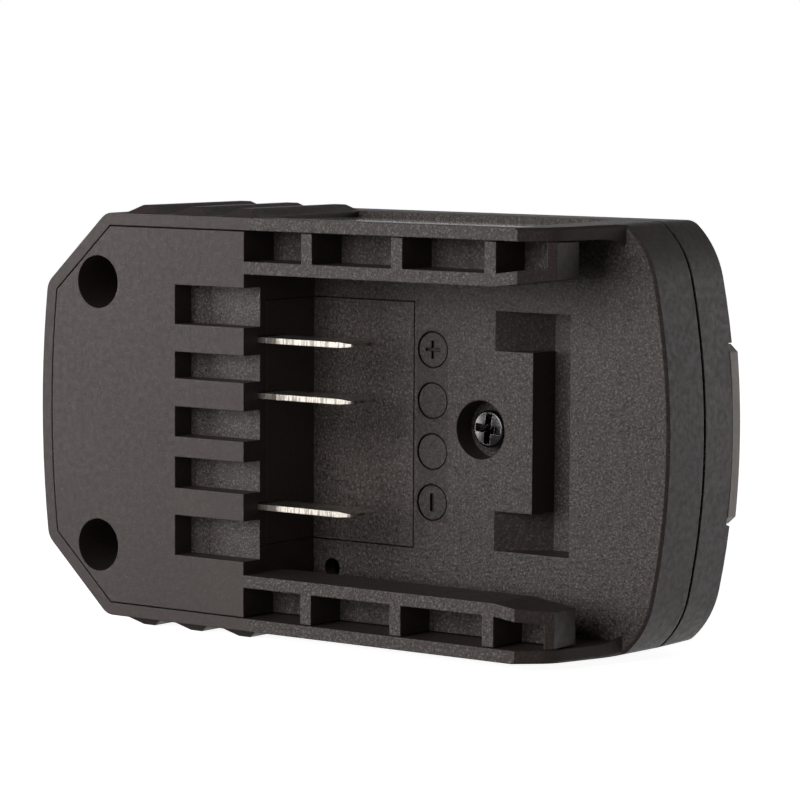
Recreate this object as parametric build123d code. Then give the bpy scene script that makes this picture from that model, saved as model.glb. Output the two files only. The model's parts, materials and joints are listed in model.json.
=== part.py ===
"""USB adapter that takes the place of a tool on a slide-on battery pack.

Sizes are in millimetres. Each piece is drawn with the battery face up at z = 0, the body below it,
x along the slide and y across it. Depths below the battery face are positive and become -z.
place() then stands the adapter on its long side: battery face towards -Y, width along Z.
"""
import os
from math import atan2, cos, degrees, radians, sin, sqrt, tan

from build123d import *

# Casing
LENGTH = 121.5            # along the slide, at the battery face
WIDTH = 72.0              # across, at the battery face
DEPTH = 42.0              # battery face to back
COVER_HEIGHT = 11.0       # line where the two shells meet, up to the back
FLOOR_TO_BACK = 22.3      # room for the electronics, from the bay's floor to the back
DRAFT = 0.75              # degrees, both shells widen towards the split
WALL = 2.2
BACK_BEVEL = 1.4          # bevel of the back edge
SEAM_WIDTH = 0.7          # shadow groove round the casing, where the shells meet
SEAM_DEPTH = 0.9
SHELL_GAP = 0.15          # between the cover's lip and the wall it fits in
LIP_THICK = 1.0
LIP_HEIGHT = 1.4
SINK = 0.5                # bosses run this far into the wall they stand on

# Plan outline: bowed blunt end, two chamfers, straight sides that turn sharply, bulging round end
BOW_RISE = 1.4
BOW_HALF = 23.0
CHAMFER_X = 15.4
CHAMFER_ROUND = 3.5
TURN_RADIUS = 3.2
TURN_ANGLE = 48.0         # from the slide to where the turn hands over to the corner
LEAST_TURN = 0.3          # the turn keeps this inside thick walls
CORNER_RADIUS = 16.0
END_RADIUS = 125.0

# Battery bay
FLOOR_THICK = 2.8
BLOCK_X = 47.0            # face of the terminal block
WALL_FALL = 8.3           # length over which the ends of the side walls fall away
WALL_BEVEL = 4.6          # 45 degree part of that fall
FALL_ROUND = 8.0
FOOT_PAST_TURN = 1.45     # the fall meets the floor this far into the turn
FLOOR_RIM = 0.45
DRAIN_X = 51.2
DRAIN_Y = 26.6
DRAIN_RADIUS = 1.7

# Grip ribs on both long sides
RIB_COUNT = 3
RIB_FIRST_X = 23.3
RIB_PITCH = 10.95
RIB_BASE = 8.0
RIB_CREST = 2.5
RIB_HEIGHT = 1.45
RIB_TOP_DEPTH = 0.8
RIB_END_SLOPE = 1.7

# Catch pocket in the floor, a slot across with two ramped notches
CATCH_TO_END = 27.2
CATCH_LENGTH = 7.7
CATCH_HALF = 20.6
CATCH_DEPTH = 6.7
NOTCH_LENGTH = 7.9
NOTCH_INNER = 13.8
CATCH_WALL = 1.6

# Screws
HOLE_X = 13.4
HOLE_Y = 23.6
HOLE_RADIUS = 4.7         # access hole to a block screw
TUBE_WALL = 1.5
HOLE_FLOOR = 2.2          # from the seat of a block screw to the bay's floor
SHANK_RADIUS = 1.75
SHANK_ROOM = 0.3          # a shank in its clearance hole
THREAD_ROOM = 0.05        # a shank in its pilot hole
BLOCK_HEAD_RADIUS = 3.4
BLOCK_HEAD_HEIGHT = 2.5
SCREW_SEAT = 2.5          # plastic under the centre screw's head
PILOT_SPARE = 0.5         # pilot holes go this much past the screw
BLOCK_SHANK = 20.5
CENTRE_TO_CATCH = 10.9
CENTRE_BORE_RADIUS = 5.1
CENTRE_BORE_DEPTH = 4.4
CENTRE_HEAD_RADIUS = 3.2
CENTRE_HEAD_HEIGHT = 2.4
CENTRE_SHANK = 12.5
BOSS_WALL = 1.9
CROSS_LENGTH = 4.6
CROSS_WIDTH = 1.1
CROSS_DEPTH = 1.6
CROSS_TURN = -6.0         # degrees
HIDDEN_SIDES = 16         # the screws out of sight are plain, with this many sides

# Rail frame: terminal block and two rails in one moulding
FRAME_GAP = 0.22          # dark line between the frame and the rim
BLOCK_SKIN = 2.6
SLOT_X = 31.4
SLOT_DEPTH = 4.5
SLOT_FLOOR = 1.6
SLOTS = [(20.35, 6.9), (9.7, 4.7), (-0.25, 5.3), (-9.25, 5.5), (-20.35, 7.1)]   # centre, width
RAIL_INNER = 26.2         # half the gap between the rails
RAIL_WEB = 2.2
RAIL_THICK = 11.0
POCKET_DEPTH = 8.3
RAIL_OUTER_WEB = 1.7
RAIL_RIB = 2.3
RAIL_RIB_COUNT = 3
RAIL_RIB_FIRST = 13.8     # from the block to the first cross rib
RAIL_RIB_LAST = 10.1      # from the last cross rib to the rail's end
RAIL_TO_END = 12.1
RAIL_END_WALL = 1.2
LEAD_IN_LENGTH = 8.9
LEAD_IN = 1.2             # the rails open by this much towards their ends
RAIL_FOOT_SHORT = 10.9    # the outer web stands on the floor up to this far from the end

# Terminals
HOLDER_HALF = 21.4
HOLDER_WALL = 2.5
HOLDER_TO_CENTRE = 14.4   # from the end of the plate to the centre screw
HOLDER_PLATE = 1.6
HOLDER_GAP = 0.2
HOLDER_SEAT = 1.5         # width of the step that carries the plate
SHELF_LENGTH = 3.0        # shelf under each blade, behind the holder's wall
SHELF_SIDE = 1.5
SHELF_THICK = 2.4
BLADE_TOP = 4.0
BLADE_HEIGHT = 7.1
BLADE_THICK = 1.0
BLADE_SHORT = 1.3         # blades end this far before the plate
BLADE_TIP = 3.0
BLADE_TIP_THICK = 0.45
BLADE_ROUND = 0.8
BLADE_LEG_X = 37.5
BLADE_LEG_WIDTH = 5.0
BLADE_TAB_WIDTH = 3.0
BLADE_TAB_PROUD = 0.8
BLADE_ROOM = 0.1
BLADE_IN = 6.8            # outer blades, from the edges of the holder

# Circuit boards
BOARD_THICK = 1.6
BOARD_SET = 0.5           # battery side of the main board, in front of the split line
BOARD_START_X = 20.0
BOARD_TO_END = 14.0
BOARD_HALF = 30.5
BOARD_CORNER = 2.0
POST_HALF = 2.6           # square posts that carry the board
POST_IN = 3.5             # from the board's long edges
POST_FROM_START = 4.5
POST_FROM_END = 7.5
CENTRE_ROOM = 0.5         # board around the centre boss
BOARD_SCREW_RADIUS = 1.0
BOARD_SCREW_HEAD = 2.0
BOARD_SCREW_HEAD_HEIGHT = 1.4
BOARD_SCREW_LENGTH = 7.0
USB_BOARD_FRONT = 7.2     # from the sockets' middle plane to the board's edges
USB_BOARD_REAR = 5.8
USB_BOARD_HALF = 17.0
USB_STUD = 2.0            # square studs under that board
USB_STUD_IN = 1.2

# Parts on the main board
INDUCTOR = (12.4, 12.4, 8.0)
INDUCTOR_AT = (28.0, -1.0)
INDUCTOR_CHAMFER = 1.8
INPUT_CAP = (5.0, 16.0)            # radius, height
INPUT_CAP_AT = (28.5, 15.5)
OUTPUT_CAP = (3.15, 11.0)
OUTPUT_CAPS_AT = [(26.5, -15.0), (34.0, -20.0)]
TRANSISTOR = (6.6, 6.1, 2.3)
TRANSISTOR_AT = (56.0, 10.0)
HEAT_SINK = (22.0, 18.0, 5.2)
HEAT_SINK_BASE = 1.4
HEAT_SINK_FINS = 6
HEAT_SINK_FIN = 1.2
CONTROL_CHIP = (5.0, 4.0, 1.6)
CONTROL_CHIP_AT = (56.0, -12.0)
LEG = (0.4, 1.0, 0.35)
LEG_OUT = 0.45
FUSE = (7.4, 3.0, 2.8)
FUSE_AT = (48.0, 24.0)

# USB sockets, upright on their own board, mouths to the back
USB_TO_END = 10.0
USB_PITCH = 15.2
USB_WIDTH = 13.2
USB_HEIGHT = 5.8
USB_LENGTH = 13.0
USB_METAL = 0.35
USB_CHAMFER = 0.8
USB_FIT = 0.05            # insulator in its shell
USB_ROOM = 0.15           # shell in the cover
USB_SET_BACK = 0.3        # mouths under the flap
USB_WINDOW_HALF = 1.1
USB_WINDOW_FAR = 7.6
USB_WINDOW_NEAR = 3.6
USB_BASE = 3.4
TONGUE_WIDTH = 11.1
TONGUE_THICK = 1.84
TONGUE_SET_BACK = 1.2
TONGUE_OFF = 0.7          # from the inside of the shell
CONTACT_WIDTH = 1.0
CONTACT_THICK = 0.25
CONTACTS_AT = [-3.5, -1.0, 1.0, 3.5]
HEADER_PINS = 4
PIN_SPACING = 2.54
HEADER_PIN = 0.64
HEADER_THICK = 2.5
HEADER_IN = 1.6           # from the edge of the socket board
PIN_PROUD = 0.6

# Hinged cover over the sockets
FLAP_THICK = 2.4
FLAP_HALF = 15.4
FLAP_PROUD = 0.3          # middle of its crowned edge, beyond the casing
FLAP_END_RADIUS = 144.0
FLAP_GAP = 0.3
FLAP_AXIS_TO_USB = 10.9
FLAP_FRAME = 2.4          # cover around the flap's seat
FLAP_CORNER = 1.3
FLAP_SEAT = 2.0
PIN_RADIUS = 0.7
PIN_ROOM = 0.05
PIN_ANCHOR = 2.5

# Power button, its switch and the light window
BUTTON_TO_WINDOW = 14.0
BUTTON_RADIUS = 6.0
BUTTON_GAP = 0.3
BUTTON_FLANGE = 1.2
BUTTON_FLANGE_THICK = 1.2
BUTTON_BEVEL = 0.5
BUTTON_POST = 2.2
BUTTON_TRAVEL = 0.5
SWITCH_SIZE = 6.0
SWITCH_HEIGHT = 3.5
PLUNGER_RADIUS = 1.7
PLUNGER_OUT = 1.2
PLUNGER_IN = 1.4
PLUNGER_ROOM = 0.08
PLUNGER_SPARE = 0.3
WINDOW_TO_CENTRE = 17.4
WINDOW_RADIUS = 1.6
WINDOW_ROOM = 0.05
WINDOW_FLANGE = 0.9
LED = (2.0, 1.3, 0.8)
LED_CLEAR = 0.3

# Bare label in a shallow recess on one long side
LABEL_START_X = 50.0
LABEL_TO_END = 17.5
LABEL_EDGE = 2.4          # from the battery face and from the split line
LABEL_GAP = 0.3
LABEL_RECESS = 0.45
LABEL_THICK = 0.25
LABEL_ROUND = 1.5

BLADE_OUT = HOLDER_HALF - BLADE_IN
BLADES = {"blade_positive": BLADE_OUT, "blade_sense": BLADE_OUT / 3, "blade_negative": -BLADE_OUT}
HALF_WIDTH = WIDTH / 2
INNER_BACK = DEPTH - WALL
SPLIT_DEPTH = DEPTH - COVER_HEIGHT
FLOOR_DEPTH = DEPTH - FLOOR_TO_BACK
HOLE_DEPTH = FLOOR_DEPTH - HOLE_FLOOR
BOARD_DEPTH = SPLIT_DEPTH - BOARD_SET
CATCH_X = LENGTH - CATCH_TO_END
CENTRE_X = CATCH_X - CENTRE_TO_CATCH
HOLDER_END_X = CENTRE_X - HOLDER_TO_CENTRE
BLADE_END_X = HOLDER_END_X - BLADE_SHORT
RAIL_END_X = LENGTH - RAIL_TO_END
LEAD_IN_X = RAIL_END_X - LEAD_IN_LENGTH
BOARD_END_X = LENGTH - BOARD_TO_END
POSTS = [(BOARD_START_X + POST_FROM_START, BOARD_HALF - POST_IN),
         (BOARD_END_X - POST_FROM_END, POST_IN - BOARD_HALF)]
USB_X = LENGTH - USB_TO_END
WINDOW_X = CENTRE_X - WINDOW_TO_CENTRE
BUTTON_X = WINDOW_X - BUTTON_TO_WINDOW
FLAP_AXIS_X = USB_X - FLAP_AXIS_TO_USB
LABEL_END_X = LENGTH - LABEL_TO_END
FLOOR_UNDER = FLOOR_DEPTH + FLOOR_THICK
CATCH_BOTTOM = FLOOR_DEPTH + CATCH_DEPTH
CENTRE_SEAT = FLOOR_DEPTH + CENTRE_BORE_DEPTH
CENTRE_BOSS_END = CENTRE_SEAT + SCREW_SEAT
BLOCK_UNDER = SLOT_DEPTH + SLOT_FLOOR
BOARD_BACK = BOARD_DEPTH + BOARD_THICK
FLAP_UNDER = DEPTH - FLAP_THICK
USB_MOUTH_DEPTH = FLAP_UNDER - USB_SET_BACK
USB_BOARD_BACK = USB_MOUTH_DEPTH - USB_LENGTH
USB_BOARD_DEPTH = USB_BOARD_BACK - BOARD_THICK
USB_BOARD_START_X = USB_X - USB_BOARD_FRONT
USB_BOARD_END_X = USB_X + USB_BOARD_REAR
HEADER_X = USB_BOARD_START_X + HEADER_IN
USB_ROWS = {"upper": USB_PITCH / 2, "lower": -USB_PITCH / 2}
FAR = 200.0


def box(x0, x1, y0, y1, top, bottom):
    """Block between two x, two y and two depths."""
    size = Box(x1 - x0, y1 - y0, bottom - top)
    return Pos((x0 + x1) / 2, (y0 + y1) / 2, -(top + bottom) / 2) * size


def rod(x, y, radius, top, bottom):
    """Cylinder across the depth."""
    return Pos(x, y, -(top + bottom) / 2) * Cylinder(radius, bottom - top)


def pillar(x, y, half, top, bottom):
    """Square column across the depth."""
    return box(x - half, x + half, y - half, y + half, top, bottom)


def prism(face, top, bottom):
    """Flat outline pulled from one depth to another."""
    return extrude(Pos(0, 0, -bottom) * face, amount=bottom - top)


def mitre(point, normal_a, normal_b, grow):
    """Corner moved out with both of the edges that meet in it."""
    scale = grow / (1 + normal_a[0] * normal_b[0] + normal_a[1] * normal_b[1])
    return (point[0] + (normal_a[0] + normal_b[0]) * scale, point[1] + (normal_a[1] + normal_b[1]) * scale)


def end_arcs(grow):
    """Turn and corner at the round end: radius and centre of both."""
    turn = max(TURN_RADIUS + grow, LEAST_TURN)
    turn_y = HALF_WIDTH + grow - turn
    corner = CORNER_RADIUS + grow
    corner_y = turn_y - (corner - turn) * sin(radians(TURN_ANGLE))
    corner_x = LENGTH - END_RADIUS + sqrt((END_RADIUS - CORNER_RADIUS) ** 2 - corner_y**2)
    turn_x = corner_x + (corner - turn) * cos(radians(TURN_ANGLE))
    return turn, (turn_x, turn_y), corner, (corner_x, corner_y)


WALL_FOOT_X = end_arcs(0)[1][0] + FOOT_PAST_TURN
WALL_END_X = WALL_FOOT_X - WALL_FALL


def plan_outline(grow=0.0):
    """Outline of the casing at the battery face, moved out by grow; its inner copies have sharp chamfers."""
    bow_radius = (BOW_HALF**2 + BOW_RISE**2) / (2 * BOW_RISE)
    bow_normal = ((BOW_RISE - bow_radius) / bow_radius, BOW_HALF / bow_radius)
    run = (CHAMFER_X - BOW_RISE, HALF_WIDTH - BOW_HALF)
    run_length = sqrt(run[0] ** 2 + run[1] ** 2)
    chamfer_normal = (-run[1] / run_length, run[0] / run_length)
    low = mitre((BOW_RISE, BOW_HALF), bow_normal, chamfer_normal, grow)
    high = mitre((CHAMFER_X, HALF_WIDTH), chamfer_normal, (0, 1), grow)

    side = HALF_WIDTH + grow
    end_centre = LENGTH - END_RADIUS
    turn, (turn_x, turn_y), corner, (corner_x, corner_y) = end_arcs(grow)
    blend = degrees(atan2(corner_y, corner_x - end_centre))
    face = make_face([
        ThreePointArc((low[0], -low[1]), (-grow, 0), low),
        Line(low, high),
        Line(high, (turn_x, side)),
        CenterArc((turn_x, turn_y), turn, TURN_ANGLE, 90 - TURN_ANGLE),
        CenterArc((corner_x, corner_y), corner, blend, TURN_ANGLE - blend),
        CenterArc((end_centre, 0), END_RADIUS + grow, -blend, 2 * blend),
        CenterArc((corner_x, -corner_y), corner, -TURN_ANGLE, TURN_ANGLE - blend),
        CenterArc((turn_x, -turn_y), turn, -90, 90 - TURN_ANGLE),
        Line((turn_x, -side), (high[0], -high[1])),
        Line((high[0], -high[1]), (low[0], -low[1])),
    ])
    if grow < 0:
        return face
    return fillet([vertex for vertex in face.vertices() if vertex.X < CHAMFER_X + 1], CHAMFER_ROUND + grow)


def drafted(top, bottom, grow_top):
    """Casing shape that gets wider from one depth to another, with the draft."""
    face = Pos(0, 0, -top) * plan_outline(grow_top)
    return extrude(face, amount=bottom - top, dir=(0, 0, -1), taper=-DRAFT)


def side_tool(x0, x1, top, bottom, inside, outside, side):
    """Block along the drafted long side, between two distances from its face."""
    tool = Box(x1 - x0, outside - inside, bottom - top)
    tool = Pos((x0 + x1) / 2, (inside + outside) / 2, -(top + bottom) / 2) * tool
    tilted = Pos(0, HALF_WIDTH, 0) * (Rot(-DRAFT, 0, 0) * tool)
    return tilted if side > 0 else mirror(tilted, Plane.XZ)


def grip_rib(x, side):
    """Ridge with sloped flanks and ends on a long side."""
    long_base = SPLIT_DEPTH - RIB_TOP_DEPTH
    middle = (RIB_TOP_DEPTH + SPLIT_DEPTH) / 2
    slope = RIB_HEIGHT + SINK
    ratio = SINK / RIB_HEIGHT
    plane = Plane(origin=(x, HALF_WIDTH - SINK, -middle), x_dir=(1, 0, 0), z_dir=(0, 1, 0))
    foot = Rectangle(RIB_BASE + ratio * (RIB_BASE - RIB_CREST), long_base + ratio * 2 * RIB_END_SLOPE)
    crest = Rectangle(RIB_CREST, long_base - 2 * RIB_END_SLOPE)
    ridge = loft([plane * foot, plane.offset(slope) * crest], ruled=True)
    ridge = ridge & box(x - RIB_BASE, x + RIB_BASE, 0, FAR, 0, SPLIT_DEPTH)
    return ridge if side > 0 else mirror(ridge, Plane.XZ)


def rib_places():
    return [RIB_FIRST_X + RIB_PITCH * index for index in range(RIB_COUNT)]


def wall_end_cut():
    """Everything above the floor beyond the falling ends of the side walls."""
    bevel_x = WALL_END_X + WALL_BEVEL
    fall = FilletPolyline((WALL_END_X - 2, 2), (bevel_x, -WALL_BEVEL), (WALL_FOOT_X, -FLOOR_DEPTH),
                          radius=FALL_ROUND)
    rest = Polyline((WALL_FOOT_X, -FLOOR_DEPTH), (FAR, -FLOOR_DEPTH), (FAR, 2), (WALL_END_X - 2, 2))
    return extrude(Plane.XZ.offset(-FAR / 2) * make_face([*fall.edges(), *rest.edges()]), amount=FAR)


def end_rim(body):
    """Outer edge of the falling wall ends and of the floor between them."""
    core = prism(plan_outline(-WALL / 2), -FLOOR_DEPTH, DEPTH)
    return [edge for edge in body.edges()
            if edge.center().X > WALL_END_X and edge.center().Z > -FLOOR_DEPTH - 0.1
            and edge.geom_type != GeomType.LINE and not core.is_inside(edge.center())]


def catch_tool(margin, bottom):
    """Slot and notches of the catch pocket with a margin all round, down to a depth."""
    top = FLOOR_DEPTH if margin == 0 else FLOOR_UNDER
    tool = box(CATCH_X - margin, CATCH_X + CATCH_LENGTH + margin, -CATCH_HALF - margin, CATCH_HALF + margin,
               top, bottom)
    for side in (1, -1):
        low, high = sorted((side * (NOTCH_INNER - margin), side * (CATCH_HALF + margin)))
        tool += box(CATCH_X - NOTCH_LENGTH - margin, CATCH_X, low, high, top, bottom)
    return tool


def notch_ramp():
    """Ramp left in both notches, from the floor down to the pocket."""
    start = CATCH_X - NOTCH_LENGTH
    face = make_face(Polyline((start - 1, -FLOOR_DEPTH - 0.01), (start, -FLOOR_DEPTH - 0.01),
                              (CATCH_X, -CATCH_BOTTOM - 0.01), (start - 1, -CATCH_BOTTOM - 0.01),
                              (start - 1, -FLOOR_DEPTH - 0.01)))
    return extrude(Plane.XZ.offset(-CATCH_HALF) * face, amount=2 * CATCH_HALF)


def lower_housing():
    body = drafted(0, SPLIT_DEPTH, 0)
    inside = plan_outline(-WALL)
    body -= prism(inside, -1, SPLIT_DEPTH + 1)
    body += prism(inside, FLOOR_DEPTH, FLOOR_UNDER)
    hollow = plan_outline(-WALL - 2 * HOLDER_SEAT)
    open_block = box(-FAR, BLOCK_X - HOLDER_WALL - 1, -FAR, FAR, FLOOR_DEPTH - 1, FLOOR_UNDER + 1)
    body -= prism(hollow, FLOOR_DEPTH - 1, FLOOR_UNDER + 1) & open_block
    body -= wall_end_cut()
    body = chamfer(end_rim(body), FLOOR_RIM)

    for x in rib_places():
        for side in (1, -1):
            body += grip_rib(x, side)
    seam = SPLIT_DEPTH - SEAM_WIDTH
    beside = plan_outline(SPLIT_DEPTH * tan(radians(DRAFT)) - SEAM_DEPTH)
    body -= box(-FAR, FAR, -FAR, FAR, seam, SPLIT_DEPTH) - prism(beside, seam, SPLIT_DEPTH)

    boss_radius = CENTRE_BORE_RADIUS + BOSS_WALL
    body += rod(CENTRE_X, 0, boss_radius, FLOOR_UNDER, CENTRE_BOSS_END)
    body += catch_tool(CATCH_WALL, CATCH_BOTTOM + CATCH_WALL)
    body -= catch_tool(0, CATCH_BOTTOM) - notch_ramp()
    body -= rod(CENTRE_X, 0, CENTRE_BORE_RADIUS, FLOOR_DEPTH - 1, CENTRE_SEAT)
    body -= rod(CENTRE_X, 0, SHANK_RADIUS + SHANK_ROOM, CENTRE_SEAT - 1, CENTRE_BOSS_END + 1)

    plate_room = HOLDER_HALF + HOLDER_GAP
    body -= box(0, HOLDER_END_X + HOLDER_GAP, -plate_room, plate_room, FLOOR_DEPTH - 1,
                FLOOR_DEPTH + HOLDER_PLATE)
    seat = plate_room - HOLDER_SEAT
    body -= box(0, HOLDER_END_X - HOLDER_SEAT, -seat, seat, FLOOR_DEPTH, FLOOR_UNDER + 1) & prism(
        hollow, FLOOR_DEPTH, FLOOR_UNDER + 1)
    body -= rod(DRAIN_X, -DRAIN_Y, DRAIN_RADIUS, FLOOR_DEPTH - 1, FLOOR_UNDER + 1)
    body -= rod(DRAIN_X, DRAIN_Y, DRAIN_RADIUS, FLOOR_DEPTH - 1, FLOOR_UNDER + 1)

    for side in (1, -1):
        y = side * HOLE_Y
        body += rod(HOLE_X, y, SHANK_RADIUS + SHANK_ROOM + BOSS_WALL, FLOOR_DEPTH, SPLIT_DEPTH)
        body -= rod(HOLE_X, y, SHANK_RADIUS + SHANK_ROOM, FLOOR_DEPTH - 1, SPLIT_DEPTH + 1)
        y = side * (USB_BOARD_HALF - USB_STUD_IN)
        for x in (USB_BOARD_START_X + USB_STUD, USB_BOARD_END_X - USB_STUD):
            body += pillar(x, y, USB_STUD / 2, FLOOR_UNDER, USB_BOARD_DEPTH)
    body -= side_tool(LABEL_START_X, LABEL_END_X, LABEL_EDGE, SPLIT_DEPTH - LABEL_EDGE, -LABEL_RECESS,
                      WALL, 1)
    return body


def rail_plan(start, end, inset):
    """Plan of a rail with its lead-in, its inner side moved out by inset."""
    inner = RAIL_INNER + inset
    opening = LEAD_IN * (end - LEAD_IN_X) / (RAIL_END_X - LEAD_IN_X)
    return make_face(Polyline((start, inner), (LEAD_IN_X, inner), (end, inner + opening), (end, HALF_WIDTH),
                              (start, HALF_WIDTH), (start, inner)))


def rail(side):
    """One rail: pocketed bar with cross ribs, and the web along the wall that it stands on."""
    outside = plan_outline(-WALL - FRAME_GAP)
    foot = HALF_WIDTH - WALL - FRAME_GAP - RAIL_OUTER_WEB
    piece = prism(rail_plan(BLOCK_X - 1, RAIL_END_X, 0), 0, RAIL_THICK) & prism(outside, 0, RAIL_THICK)
    piece += box(BLOCK_X - 1, RAIL_END_X - RAIL_FOOT_SHORT, foot, foot + RAIL_OUTER_WEB, RAIL_THICK - 1,
                 FLOOR_DEPTH)
    pockets = prism(rail_plan(BLOCK_X, RAIL_END_X - RAIL_END_WALL, RAIL_WEB), -1, POCKET_DEPTH)
    first = BLOCK_X + RAIL_RIB_FIRST
    pitch = (RAIL_END_X - RAIL_RIB_LAST - first) / (RAIL_RIB_COUNT - 1)
    for x in [first + pitch * index for index in range(RAIL_RIB_COUNT)]:
        pockets -= box(x - RAIL_RIB / 2, x + RAIL_RIB / 2, 0, FAR, -2, POCKET_DEPTH + 1)
    piece -= pockets
    bevel = make_face(Polyline((WALL_END_X - 1, 1), (RAIL_END_X + 2, -(RAIL_END_X + 2 - WALL_END_X)),
                               (RAIL_END_X + 2, 1), (WALL_END_X - 1, 1)))
    piece -= extrude(Plane.XZ.offset(-FAR / 2) * bevel, amount=FAR)
    return piece if side > 0 else mirror(piece, Plane.XZ)


def rail_frame():
    outside = plan_outline(-WALL - FRAME_GAP)
    block_room = box(-FAR, BLOCK_X, -FAR, FAR, 0, FLOOR_DEPTH)
    body = prism(outside, 0, FLOOR_DEPTH) & block_room
    hollow = prism(plan_outline(-2 * WALL - FRAME_GAP), BLOCK_SKIN, FLOOR_DEPTH + 1)
    body -= hollow & box(-FAR, BLOCK_X - HOLDER_WALL, -FAR, FAR, 0, FAR)
    body += box(SLOT_X - SLOT_FLOOR, BLOCK_X, -RAIL_INNER, RAIL_INNER, BLOCK_SKIN - 1, BLOCK_UNDER)
    for centre, width in SLOTS:
        body -= box(SLOT_X, BLOCK_X + 1, centre - width / 2, centre + width / 2, -1, SLOT_DEPTH)
    holder_room = HOLDER_HALF + BLADE_ROOM
    body -= box(BLOCK_X - HOLDER_WALL - BLADE_ROOM, BLOCK_X + 1, -holder_room, holder_room, BLOCK_UNDER,
                FLOOR_DEPTH + 1)
    for y in BLADES.values():
        half = BLADE_THICK / 2 + BLADE_ROOM
        body -= box(BLADE_LEG_X - BLADE_ROOM, BLOCK_X + 1, y - half, y + half, BLADE_TOP - BLADE_ROOM,
                    BLOCK_UNDER + 1)
    tube = HOLE_RADIUS + TUBE_WALL
    for side in (1, -1):
        y = side * HOLE_Y
        body += rod(HOLE_X, y, tube, BLOCK_SKIN - 1, FLOOR_DEPTH) & prism(outside, 0, FLOOR_DEPTH)
        body -= rod(HOLE_X, y, HOLE_RADIUS, -1, HOLE_DEPTH)
        body -= rod(HOLE_X, y, SHANK_RADIUS + SHANK_ROOM, HOLE_DEPTH - 1, FLOOR_DEPTH + 1)
        body += rail(side)
    return body


def terminal_holder():
    wall = box(BLOCK_X - HOLDER_WALL, BLOCK_X, -HOLDER_HALF, HOLDER_HALF, BLOCK_UNDER + BLADE_ROOM,
               FLOOR_DEPTH + HOLDER_PLATE)
    plate = box(BLOCK_X - HOLDER_WALL, HOLDER_END_X, -HOLDER_HALF, HOLDER_HALF, FLOOR_DEPTH,
                FLOOR_DEPTH + HOLDER_PLATE)
    body = wall + plate
    shelf = BLADE_TOP + BLADE_HEIGHT + BLADE_ROOM
    for y in BLADES.values():
        half = BLADE_THICK / 2 + BLADE_ROOM
        body -= box(BLOCK_X - HOLDER_WALL - 1, BLOCK_X + 1, y - half, y + half, 0, shelf)
        body += box(BLOCK_X - HOLDER_WALL - SHELF_LENGTH, BLOCK_X - HOLDER_WALL, y - half - SHELF_SIDE,
                    y + half + SHELF_SIDE, shelf, shelf + SHELF_THICK)
        body -= box(BLADE_LEG_X, BLADE_LEG_X + BLADE_LEG_WIDTH + BLADE_ROOM, y - half, y + half, BLADE_TOP,
                    shelf + SHELF_THICK + 1)
    return body


def blade(y):
    """Flat contact with a bevelled tip, a leg to the board and a solder tab."""
    half = BLADE_THICK / 2
    tip = BLADE_TIP_THICK / 2
    plan = make_face(Polyline((BLADE_LEG_X, -half), (BLADE_END_X - BLADE_TIP, -half), (BLADE_END_X, -tip),
                              (BLADE_END_X, tip), (BLADE_END_X - BLADE_TIP, half), (BLADE_LEG_X, half),
                              (BLADE_LEG_X, -half)))
    low = BLADE_TOP + BLADE_HEIGHT
    tongue = prism(plan, BLADE_TOP, low)
    corners = tongue.edges().filter_by(Axis.Y).group_by(Axis.X)[-1]
    tongue = fillet(corners, BLADE_ROUND)
    leg = box(BLADE_LEG_X, BLADE_LEG_X + BLADE_LEG_WIDTH, -half, half, low - 1, BOARD_DEPTH)
    middle = BLADE_LEG_X + BLADE_LEG_WIDTH / 2
    tab = box(middle - BLADE_TAB_WIDTH / 2, middle + BLADE_TAB_WIDTH / 2, -half, half, BOARD_DEPTH - 1,
              BOARD_BACK + BLADE_TAB_PROUD)
    return Pos(0, y, 0) * (tongue + leg + tab)


def hidden_screw(head_radius, head_height, shank_radius, shank_length):
    """Screw out of sight, seat of its head at z = 0."""
    head = extrude(RegularPolygon(head_radius, HIDDEN_SIDES), amount=head_height)
    return head + extrude(RegularPolygon(shank_radius, HIDDEN_SIDES), amount=-shank_length)


def centre_screw():
    """The one screw in the bay, with its cross recess."""
    body = Pos(0, 0, CENTRE_HEAD_HEIGHT / 2) * Cylinder(CENTRE_HEAD_RADIUS, CENTRE_HEAD_HEIGHT)
    body += Pos(0, 0, -CENTRE_SHANK / 2) * Cylinder(SHANK_RADIUS, CENTRE_SHANK)
    for angle in (CROSS_TURN, CROSS_TURN + 90):
        arm = Box(CROSS_LENGTH, CROSS_WIDTH, CROSS_DEPTH)
        body -= Pos(0, 0, CENTRE_HEAD_HEIGHT - CROSS_DEPTH / 2) * Rot(0, 0, angle) * arm
    return Pos(CENTRE_X, 0, -CENTRE_SEAT) * body


def block_screws():
    one = hidden_screw(BLOCK_HEAD_RADIUS, BLOCK_HEAD_HEIGHT, SHANK_RADIUS, BLOCK_SHANK)
    return [Pos(HOLE_X, side * HOLE_Y, -HOLE_DEPTH) * one for side in (1, -1)]


def board_screws():
    one = hidden_screw(BOARD_SCREW_HEAD, BOARD_SCREW_HEAD_HEIGHT, BOARD_SCREW_RADIUS, BOARD_SCREW_LENGTH)
    return [Pos(x, y, -BOARD_DEPTH) * one for x, y in POSTS]


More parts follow.
